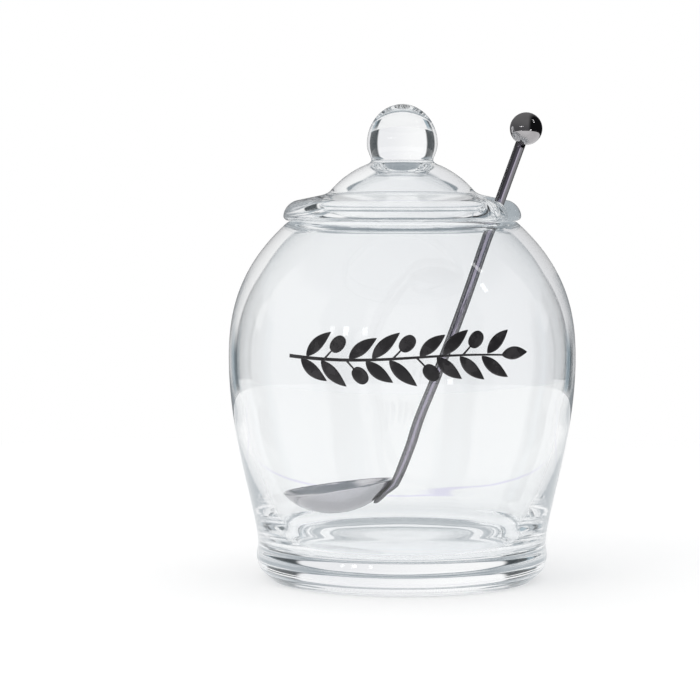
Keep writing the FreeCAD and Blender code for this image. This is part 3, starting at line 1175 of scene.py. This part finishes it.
# -------------------------------------------------------------------- spoon
@dataclass
class LeaningSpoon:
    """The steel spoon: dished bowl, rod with a flattened tail, and ball end.

    It is drawn in its own upright plane, x outwards, and turned to its azimuth.
    """

    azimuth: float = -20.0
    rod_diameter: float = 3.0
    ball_diameter: float = 9.4
    bowl_length: float = 36.2
    bowl_width: float = 29.0
    bowl_depth: float = 8.5
    bowl_tilt: float = 10.5
    sheet: float = 0.9
    tail_length: float = 10.5
    tail_width: float = 4.6
    tail_thickness: float = 1.3
    weld_gap: float = 0.03
    bend_start: float = 8.0
    socket_depth: float = 1.0
    socket_lip: float = 0.22
    socket_floor: float = -0.6

    def __post_init__(self) -> None:
        """Work out the bowl's ball and where the CAD nodes place the pieces."""
        half = self.bowl_width / 2
        self.ball = (half ** 2 + self.bowl_depth ** 2) / (2 * self.bowl_depth)
        self.stretch = self.bowl_length / self.bowl_width
        self.opening = math.asin(half / self.ball)
        self.turn = Matrix.Rotation(math.radians(self.azimuth), 4, "Z")
        tilt = Matrix.Rotation(math.radians(-self.bowl_tilt), 4, "Y")
        dish = self.dish().moved(self.turn @ tilt)
        low, high = node_box("spoon_bowl")
        shift = (low + high) / 2 - dish.box_middle()
        self.seated = Matrix.Translation(self.turn.inverted() @ shift) @ tilt
        low, high = node_box("spoon_ball")
        self.ball_middle = self.turn.inverted() @ ((low + high) / 2)
        self.foot, self.along = self.rod_line()

    def surface(self, angle: float) -> Vector:
        """Find a point under the bowl in the spoon's plane.

        Args:
            angle: Its place on the bowl's ball, in radians from the lowest point.

        Returns:
            The point, placed in the jar.
        """
        out = self.ball * math.sin(angle) * self.stretch
        rise = self.ball - self.bowl_depth - self.ball * math.cos(angle)
        return self.seated @ Vector((out, 0.0, rise))

    def rod_line(self) -> tuple[Vector, Vector]:
        """Where the straight rod ends at the bowl, and its heading.

        Returns:
            The foot on the axis of the rod, and a unit vector up the rod.
        """
        rim_end = self.surface(self.opening)
        foot = rim_end
        for _ in range(6):
            along = (self.ball_middle - foot).normalized()
            outward = Vector((along.z, 0.0, -along.x))
            foot = rim_end + outward * (self.rod_diameter / 2 + self.weld_gap)
        return foot, along

    def dish(self) -> RingMesh:
        """The bowl before it is tilted, its rim's middle at the origin.

        Returns:
            The untilted bowl.
        """
        middle = self.ball - self.bowl_depth
        inner = self.ball - self.sheet
        inner_opening = math.acos(middle / inner)
        shape = Outline(0.0, middle - self.ball)
        for angle in np.linspace(0, self.opening, 40)[1:]:
            shape.points.append((self.ball * math.sin(angle), middle - self.ball * math.cos(angle)))
        outer_end = shape.points[-1][0]
        inner_end = inner * math.sin(inner_opening)
        rim, half = (outer_end + inner_end) / 2, (outer_end - inner_end) / 2
        for angle in np.linspace(0, math.pi, 12)[1:-1]:
            shape.points.append((rim + half * math.cos(angle), half * math.sin(angle)))
        for angle in np.linspace(inner_opening, 0, 40):
            shape.points.append((inner * math.sin(angle), middle - inner * math.cos(angle)))
        turned = RingMesh.turned(shape, around(160))
        turned.rings[..., 0] *= self.stretch
        return turned

    def build_bowl(self, finish: Finish) -> bpy.types.Object:
        """Press the bowl and let it stand for its CAD node.

        Args:
            finish: What it is made of.

        Returns:
            The dressed bowl.
        """
        placed = self.dish().moved(self.turn @ self.seated)
        piece = placed.build("spoon_dish", Slot.STEEL, finish)
        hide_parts("spoon_bowl")
        return piece

    def rod_sections(self) -> list[Section]:
        """Sections of the rod from its ball end to the tail's tip.

        Returns:
            Middle, outward direction, half width and half thickness of each.
        """
        half = self.rod_diameter / 2
        top = self.ball_middle - self.along * (self.ball_diameter / 2 - self.socket_depth)
        bottom = self.foot + self.along * self.bend_start
        outward = Vector((self.along.z, 0.0, -self.along.x))
        made = [(top.lerp(bottom, share), outward, half, half)
                for share in np.linspace(0, 1, 50)]
        tail: list[Section] = []
        tail_angle = self.tail_length / (self.ball * self.stretch)
        for share in np.linspace(0.08, 1, 44):
            angle = self.opening - tail_angle * share
            surface = self.surface(angle)
            along = (self.surface(angle - 0.01) - surface).normalized()
            way = Vector((-along.z, 0.0, along.x))
            flat = min(1.0, 2 * share) ** 0.8
            taper = math.sqrt(max(0.0, 1 - ((share - 0.5) / 0.505) ** 2)) if share > 0.5 else 1
            thick = half + (self.tail_thickness / 2 - half) * flat
            wide = (half + (self.tail_width / 2 - half) * flat) * taper
            edge = min(1.0, (1 - share) / 0.1 + 0.25)
            tail.append((surface + way * (thick + self.weld_gap), way, wide, thick * edge))
        return made + self.bend(made[-1], tail[0], 16) + tail

    def bend(self, start: Section, end: Section, steps: int) -> list[Section]:
        """Sections of the soft bend between the rod and its tail.

        Args:
            start: The rod's last section.
            end: The tail's first section.
            steps: How many sections to make.

        Returns:
            The sections between them.
        """
        into = Vector((end[1].z, 0.0, -end[1].x))
        reach = (end[0] - start[0]).length * 0.36
        first, last = start[0] - self.along * reach, end[0] - into * reach
        made = []
        for t in np.linspace(0, 1, steps + 2)[1:-1]:
            middle = (start[0] * (1 - t) ** 3 + first * (3 * t * (1 - t) ** 2)
                      + last * (3 * t * t * (1 - t)) + end[0] * t ** 3)
            way = start[1].slerp(end[1], t)
            wide, thick = (start[k] + (end[k] - start[k]) * t for k in (2, 3))
            made.append((middle, way, wide, thick))
        return made

    def build_rod(self, finish: Finish) -> bpy.types.Object:
        """Draw the rod out and let it stand for its CAD node.

        Args:
            finish: What it is made of.

        Returns:
            The dressed rod.
        """
        angles = around(40)
        across = np.array((0.0, 1.0, 0.0))
        rings = [
            np.array(middle)
            + np.outer(np.cos(angles) * wide, across)
            + np.outer(np.sin(angles) * thick, np.array(outward))
            for middle, outward, wide, thick in self.rod_sections()
        ]
        placed = RingMesh(np.array(rings), (None, None)).moved(self.turn)
        piece = placed.build("spoon_stem", Slot.STEEL, finish)
        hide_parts("spoon_rod")
        return piece

    def build_ball(self, finish: Finish) -> bpy.types.Object:
        """Turn the ball with its socket and let it stand for its CAD node.

        Args:
            finish: What it is made of.

        Returns:
            The dressed ball.
        """
        radius = self.ball_diameter / 2
        hole, lip = self.rod_diameter / 2 + self.weld_gap, self.socket_lip
        shape = Outline(0.0, radius)
        mouth = math.pi - math.asin((hole + lip) / radius)
        for angle in np.linspace(0, mouth, 72)[1:]:
            shape.points.append((radius * math.sin(angle), radius * math.cos(angle)))
        foot = shape.points[-1]
        shape.quarter((hole, foot[1]), (hole, foot[1] + lip), 6)
        shape.line((hole, self.socket_floor), 6)
        shape.line((0.0, self.socket_floor), 2)
        aim = self.along.to_track_quat("Z", "Y").to_matrix().to_4x4()
        place = self.turn @ Matrix.Translation(self.ball_middle) @ aim
        piece = RingMesh.turned(shape, around(96)).moved(place).build(
            "spoon_knob", Slot.STEEL, finish
        )
        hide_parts("spoon_ball")
        return piece


# ----------------------------------------------------------------- ornament
# Where olives hang in place of leaves: the node along the stem, and the side.
OLIVE_NODES = {(1, 1), (2, -1), (4, 1), (5, -1), (7, 1)}


@dataclass
class OliveSprig:
    """A printed olive sprig round the front of the jar, in raised enamel."""

    jar: JarBody
    middle_z: float = 68.2
    centre_shift: float = 1.5
    half_span: float = 35.5
    lift: Span = (0.012, 0.06)
    stem_wave: float = 0.7
    stem_widths: Span = (0.52, 0.22)
    first_node: float = -30.5
    last_node: float = 24.0
    node_spacing: float = 6.6
    leaf_length: float = 10.0
    leaf_width: float = 3.5
    leaf_spread: float = 43.0
    leaf_bow: float = 14.0
    leaf_root: Point = (0.9, 0.35)
    spread_play: float = 4.0
    length_play: float = 0.6
    end_leaf: tuple[float, float, float, float] = (6.0, 9.4, 3.6, -10.0)
    end_gap: float = 7.0
    olive_size: Point = (5.4, 4.0)
    olive_spread: float = 46.0
    olive_reach: float = 5.9
    stalk_reach: float = 3.6

    def __post_init__(self) -> None:
        """Start with no shapes, and measure the jar behind the print."""
        self.points: list[Array] = []
        self.faces: list[tuple[int, ...]] = []
        self.count = 0
        self.middle_radius = float(self.jar.outer_radius(np.array([self.middle_z]))[0])

    def wrap(self, flat: Array, lift: float) -> Array:
        """Wrap flat drawing points round the jar.

        Args:
            flat: Points, x along the print and y up, from its middle.
            lift: Distance off the glass.

        Returns:
            Points in the jar's frame.
        """
        height = self.middle_z + flat[..., 1]
        angle = (flat[..., 0] + self.centre_shift) / self.middle_radius - math.pi / 2
        radius = self.jar.outer_radius(height) + lift
        return np.stack([radius * np.cos(angle), radius * np.sin(angle), height], axis=-1)

    def patch(self, spine: Array, half_width: Array, across: int = 8) -> None:
        """Add one closed patch of enamel along a spine.

        Args:
            spine: Its middle line, from tip to tip.
            half_width: Half its width at each point of the spine.
            across: How many cells it is wide.
        """
        along = np.gradient(spine, axis=0)
        along /= np.linalg.norm(along, axis=1, keepdims=True)
        side = np.stack([-along[:, 1], along[:, 0]], axis=1)
        spread = np.linspace(-1, 1, across + 1)[None, :, None]
        flat = spine[:, None, :] + side[:, None, :] * half_width[:, None, None] * spread
        rows, columns = flat.shape[:2]
        layer = rows * columns
        for lift in self.lift:
            self.points.append(self.wrap(flat, lift).reshape(-1, 3))
        number = np.arange(layer).reshape(rows, columns) + self.count
        for shift in (0, layer):
            grid = number + shift
            cells = np.stack([grid[:-1, :-1], grid[1:, :-1], grid[1:, 1:], grid[:-1, 1:]], 2)
            self.faces += [tuple(cell) for cell in cells.reshape(-1, 4).tolist()]
        rim = np.concatenate([number[0, :-1], number[:-1, -1],
                              number[-1, :0:-1], number[:0:-1, 0]]).tolist()
        self.faces += [(a, b, b + layer, a + layer) for a, b in zip(rim, rim[1:] + rim[:1])]
        self.count += 2 * layer

    def leaf(self, root: Point, heading: float, length: float, width: float,
             bow: float) -> None:
        """Add a slender leaf.

        Args:
            root: Its base on the drawing.
            heading: The way it points, in degrees.
            length: From base to tip.
            width: At its widest.
            bow: How far it turns over its length, in degrees.
        """
        t = np.linspace(0, 1, 22)
        angle = np.radians(heading + bow * (t - 0.2))
        steps = np.stack([np.cos(angle), np.sin(angle)], axis=1) * (length / 21)
        spine = np.array(root) + np.concatenate([[(0.0, 0.0)], np.cumsum(steps[:-1], axis=0)])
        shape = np.sin(math.pi * t ** 0.85) ** 0.9
        self.patch(spine, 0.04 + width / 2 * shape)

    def hung_olive(self, node: Point, side: int) -> None:
        """Add a plump olive on its stalk.

        Args:
            node: Where the stalk leaves the stem.
            side: 1 above the stem, -1 below it.
        """
        lean = math.radians(self.olive_spread) * side
        way = np.array((math.cos(lean), math.sin(lean)))
        reach = np.linspace(0, self.stalk_reach, 10)
        self.patch(np.array(node) + np.outer(reach, way), 0.30 - 0.02 * reach, 2)
        length, width = self.olive_size
        t = np.linspace(0, math.pi, 22)
        spine = np.array(node) + np.outer(self.olive_reach - np.cos(t) * length / 2, way)
        self.patch(spine, 0.04 + width / 2 * np.sin(t) ** 0.9, 10)

    def stem_height(self, x: Array) -> Array:
        """The stem's gentle wave."""
        return self.stem_wave * np.sin(x / self.half_span * math.pi)

    def build(self, finish: Finish) -> bpy.types.Object:
        """Draw the sprig and print it on the jar.

        Args:
            finish: What it is made of.

        Returns:
            The print.
        """
        x = np.linspace(-self.half_span, self.half_span - self.end_gap, 90)
        spine = np.stack([x, self.stem_height(x)], axis=1)
        thick, thin = self.stem_widths
        along = (x + self.half_span) / (2 * self.half_span)
        self.patch(spine, thick + (thin - thick) * along, 4)
        self.leaf((float(x[-1]) - 0.6, float(spine[-1, 1])), *self.end_leaf)
        nodes = np.arange(self.first_node, self.last_node, self.node_spacing)
        for index, (place, middle) in enumerate(zip(nodes, self.stem_height(nodes))):
            for side in (1, -1):
                if (index, side) in OLIVE_NODES:
                    self.hung_olive((place, middle), side)
                    continue
                spread = self.leaf_spread + self.spread_play * math.sin(2.3 * index + side)
                length = self.leaf_length + self.length_play * math.cos(1.7 * index + side)
                root = (place + self.leaf_root[0] * side, middle + self.leaf_root[1] * side)
                self.leaf(root, spread * side, length, self.leaf_width, -self.leaf_bow * side)
        return skin("printed_sprig", np.concatenate(self.points), self.faces,
                    Slot.PRINT, finish)


# ------------------------------------------------------------------- studio
@dataclass(frozen=True)
class Window:
    """A bright window of the mirrored room, as seen from the jar.

    Azimuth in degrees, rise and half height as sines, half width in radians.
    """

    azimuth: float
    rise: float
    half_width: float
    half_height: float
    light: float


WINDOWS = tuple(Window(*row) for row in (
    (-137.6, 0.225, 0.030, 0.045, 3.0),
    (-127.7, 0.228, 0.040, 0.050, 5.0),
    (-114.7, 0.238, 0.035, 0.045, 3.0),
    (-128.5, -0.268, 0.028, 0.060, 3.0),
    (-137.1, -0.271, 0.020, 0.045, 2.5),
    (-58.4, -0.187, 0.036, 0.075, 5.0),
    (-66.8, -0.254, 0.018, 0.035, 3.0),
    (-11.9, 0.757, 0.040, 0.045, 5.0),
    (-21.0, 0.604, 0.040, 0.045, 5.0),
))


@dataclass
class Studio:
    """A white sweep, soft light from all round, and the camera."""

    camera_place: Point3 = (0.0, -0.8, 0.116)
    camera_lens: float = 139.6
    camera_down: float = 3.48
    camera_left: float = 1.1
    lamp_place: Point3 = (-0.5, -0.6, 0.9)
    lamp_aim: Point3 = (0.0, 0.0, 0.06)
    lamp_size: float = 0.5
    lamp_power: float = 3.0
    floor_radius: float = 0.45
    floor_drop: float = 0.0001
    wall_left: Colour = WHITE
    wall_right: Colour = (0.89, 0.89, 0.905)
    wall_turn: float = 0.3
    slate: Colour = (0.045, 0.055, 0.06)
    ceiling: Colour = (0.24, 0.28, 0.31)
    ceiling_edge: Span = (0.58, 0.74)
    gap_halves: Span = (12.35, 17.1)
    gap_opens: Span = (0.30, 0.42)
    gap_edge: Span = (0.65, 0.75)
    gap_soft: float = 2.0
    room_tone: Colour = (0.16, 0.16, 0.1664)
    room_top: Colour = (0.272, 0.272, 0.272)
    room_dark: Colour = (0.012, 0.012, 0.014)
    room_climb: Span = (-0.1, 0.95)
    room_turn: Span = (0.15, 0.55)
    fill: Colour = (0.78, 0.78, 0.78)
    ring_radius: float = 0.16
    ring_band: Span = (0.028, 0.098)
    ring_soft: float = 0.006
    ring_full: float = 0.62
    ring_gap: float = 9.5
    ring_columns: int = 128
    card_tones: tuple[Colour, Colour] = ((0.36, 0.45, 0.504), (0.10, 0.125, 0.14))
    bounces: int = 28

    def build_floor(self) -> bpy.types.Object:
        """Lay the floor as a wide disc.

        Returns:
            The floor.
        """
        mesh = bpy.data.meshes.new("studio_floor")
        work = bmesh.new()
        bmesh.ops.create_circle(work, cap_ends=True, radius=self.floor_radius, segments=96)
        work.to_mesh(mesh)
        work.free()
        mesh.materials.append(PaleGround("white_ground").material())
        floor = bpy.data.objects.new("studio_floor", mesh)
        floor.location.z = -self.floor_drop
        bpy.context.scene.collection.objects.link(floor)
        return floor

    def diagonals(self, bench: NodeBench, place: Mapping[str, Socket]) -> Socket:
        """Measure how far a view is turned from the nearest diagonal.

        Args:
            bench: Where the nodes go.
            place: The X, Y and Z of the view.

        Returns:
            The turn in radians.
        """
        azimuth = bench.math("ARCTAN2", place["Y"], place["X"])
        turned = bench.math("SUBTRACT", azimuth, math.pi / 4)
        return bench.math("WRAP", turned, math.pi / 4, -math.pi / 4)

    def gap(self, bench: NodeBench, fold: Socket, half: float | Socket) -> Socket:
        """Mark the dark gaps between the white walls.

        Args:
            bench: Where the nodes go.
            fold: The turn from the nearest diagonal.
            half: Half a gap's width in radians.

        Returns:
            How far into a gap, from 0 to 1.
        """
        soft = math.radians(self.gap_soft)
        beyond = bench.math("SUBTRACT", bench.math("ABSOLUTE", fold), half)
        return bench.ramp(beyond, -soft, soft, 1.0, 0.0)

    def build_world(self) -> bpy.types.World:
        """Surround the jar with white walls, grey gaps and a dim ceiling.

        Returns:
            The surround.
        """
        world = bpy.data.worlds.new("studio_surround")
        bpy.context.scene.world = world
        world.use_nodes = True
        bench = NodeBench(world.node_tree)
        view = bench.place("Generated")
        narrow, wide = (math.radians(half) for half in self.gap_halves)
        half = bench.ramp(view["Z"], *self.gap_opens, narrow, wide)
        gap = self.gap(bench, self.diagonals(bench, view), half)
        below = bench.ramp(view["Z"], *self.gap_edge, 1.0, 0.0)
        across = bench.ramp(view["X"], -self.wall_turn, self.wall_turn)
        wall = bench.mix(across, self.wall_left, self.wall_right)
        tone = bench.mix(bench.ramp(view["Z"], *self.gap_opens), self.slate, self.ceiling)
        walls = bench.mix(bench.math("MULTIPLY", gap, below), wall, tone)
        room = bench.mix(bench.ramp(view["Z"], *self.ceiling_edge), walls, self.ceiling)
        path = bench.path()
        seen = bench.mix(path["Is Glossy Ray"], self.fill, self.mirrored_room(bench, view))
        seen = bench.mix(path["Is Transmission Ray"], seen, room)
        seen = bench.mix(path["Is Camera Ray"], seen, WHITE)
        bench.show(bench.add("ShaderNodeBackground", {"Color": seen, "Strength": 1.0}), "World")
        return world

    def mirrored_room(self, bench: NodeBench, view: Mapping[str, Socket]) -> Socket:
        """Lay out the dim room and its windows that polished skins mirror.

        Args:
            bench: Where the nodes go.
            view: The X, Y and Z of where a ray goes.

        Returns:
            The room's colour.
        """
        climb = bench.ramp(view["Z"], *self.room_climb)
        turn = bench.ramp(view["X"], *self.room_turn)
        room = bench.mix(turn, bench.mix(climb, self.room_tone, self.room_top), self.room_dark)
        azimuth = bench.math("ARCTAN2", view["Y"], view["X"])
        for window in WINDOWS:
            off = bench.math("SUBTRACT", azimuth, math.radians(window.azimuth))
            off = bench.math("ABSOLUTE", bench.math("WRAP", off, math.pi, -math.pi))
            up = bench.distance(view["Z"], window.rise)
            beside, above = (
                bench.ramp(value, 0.8 * half, half, 1.0, 0.0)
                for value, half in ((off, window.half_width), (up, window.half_height))
            )
            room = bench.mix(bench.math("MULTIPLY", beside, above), room, (window.light,) * 3)
        return room

    def card_material(self) -> bpy.types.Material:
        """Grey on the diagonals, from low to high, and clear elsewhere.

        Returns:
            The cards' material.
        """
        card = bpy.data.materials.new("grey_cards")
        card.use_nodes = True
        bench = NodeBench(card.node_tree)
        place = bench.place()
        fold = self.diagonals(bench, place)
        gap = self.gap(bench, fold, math.radians(self.ring_gap))
        low, high = self.ring_band
        rise = bench.ramp(place["Z"], low - self.ring_soft, low + self.ring_soft)
        fall = bench.ramp(place["Z"], self.ring_full * high, high, 1.0, 0.0)
        shown = bench.math("MULTIPLY", gap, bench.math("MULTIPLY", rise, fall))
        soft = math.radians(self.gap_soft)
        tone = bench.mix(bench.ramp(fold, -soft, soft), *self.card_tones)
        grey = bench.add("ShaderNodeEmission", {"Color": tone})
        bench.show(bench.blend(shown, bench.add("ShaderNodeBsdfTransparent"), grey))
        return card

    def build_ring(self) -> bpy.types.Object:
        """Stand a low ring of grey cards round the jar.

        Only light that has passed through glass meets it.

        Returns:
            The ring.
        """
        count = self.ring_columns
        points = [
            (self.ring_radius * math.cos(turn), self.ring_radius * math.sin(turn), z)
            for z in (0.0, 2 * self.ring_band[1]) for turn in around(count).tolist()
        ]
        faces = [(i, (i + 1) % count, (i + 1) % count + count, i + count)
                 for i in range(count)]
        mesh = bpy.data.meshes.new("studio_cards")
        mesh.from_pydata(points, [], faces)
        mesh.materials.append(self.card_material())
        ring = bpy.data.objects.new("studio_cards", mesh)
        bpy.context.scene.collection.objects.link(ring)
        ring.visible_camera = ring.visible_diffuse = False
        ring.visible_glossy = ring.visible_shadow = False
        return ring

    def build_lamp(self) -> bpy.types.Object:
        """Hang one soft lamp that faces the jar.

        Returns:
            The lamp.
        """
        data = bpy.data.lights.new("key_lamp", "AREA")
        data.size = self.lamp_size
        data.energy = self.lamp_power
        lamp = bpy.data.objects.new("key_lamp", data)
        lamp.location = self.lamp_place
        aim = Vector(self.lamp_aim) - Vector(self.lamp_place)
        lamp.rotation_euler = aim.to_track_quat("-Z", "Y").to_euler()
        lamp.visible_glossy = lamp.visible_transmission = False
        bpy.context.scene.collection.objects.link(lamp)
        return lamp

    def build_camera(self) -> bpy.types.Object:
        """Set up the camera a little above the jar's middle.

        Returns:
            The camera.
        """
        data = bpy.data.cameras.new("studio_camera")
        data.lens = self.camera_lens
        data.sensor_width = 36.0
        data.clip_start, data.clip_end = 0.01, 20.0
        camera = bpy.data.objects.new("studio_camera", data)
        camera.location = self.camera_place
        camera.rotation_euler = (
            math.radians(90 - self.camera_down), 0.0, math.radians(self.camera_left)
        )
        bpy.context.scene.collection.objects.link(camera)
        bpy.context.scene.camera = camera
        return camera

    def build(self) -> None:
        """Set the whole studio up."""
        self.build_floor()
        self.build_world()
        self.build_ring()
        self.build_lamp()
        self.build_camera()
        scene = bpy.context.scene
        scene.view_settings.view_transform = "Standard"
        scene.cycles.max_bounces = self.bounces
        scene.cycles.glossy_bounces = self.bounces
        scene.cycles.transmission_bounces = self.bounces


def main() -> None:
    """Build the jar, its lid, its spoon and its print, and set up the studio."""
    logging.basicConfig(level=logging.INFO, format="%(name)s: %(message)s")
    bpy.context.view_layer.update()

    jar = JarBody()
    glass = ClearGlass("clear_jar_glass")
    jar.build(glass)
    DomedLid().build(ClearGlass("clear_lid_glass", ring_depth=0.0))
    spoon = LeaningSpoon()
    # One stainless steel in three copies: the bowl's lighter colour is painted light, and the rod's
    # and ball's darker colours are painted shade
    spoon.build_bowl(Steel("satin_steel_painted_light", (0.68, 0.665, 0.69), (0.12, 0.2), 1400.0,
                           painted_highlight=(1.12, 1.1, 1.14), flank=0.7))
    spoon.build_rod(Steel("polished_steel_painted_shade", (0.22, 0.215, 0.228),
                          painted_highlight=(1.7, 1.6, 1.85), flank=0.4))
    spoon.build_ball(Steel("mirror_steel_painted_shade", (0.42, 0.41, 0.42), (0.015, 0.04),
                           grain_depth=0.0000008))
    OliveSprig(jar).build(PrintInk("black_enamel"))
    Studio().build()


if __name__ == "__main__":
    main()
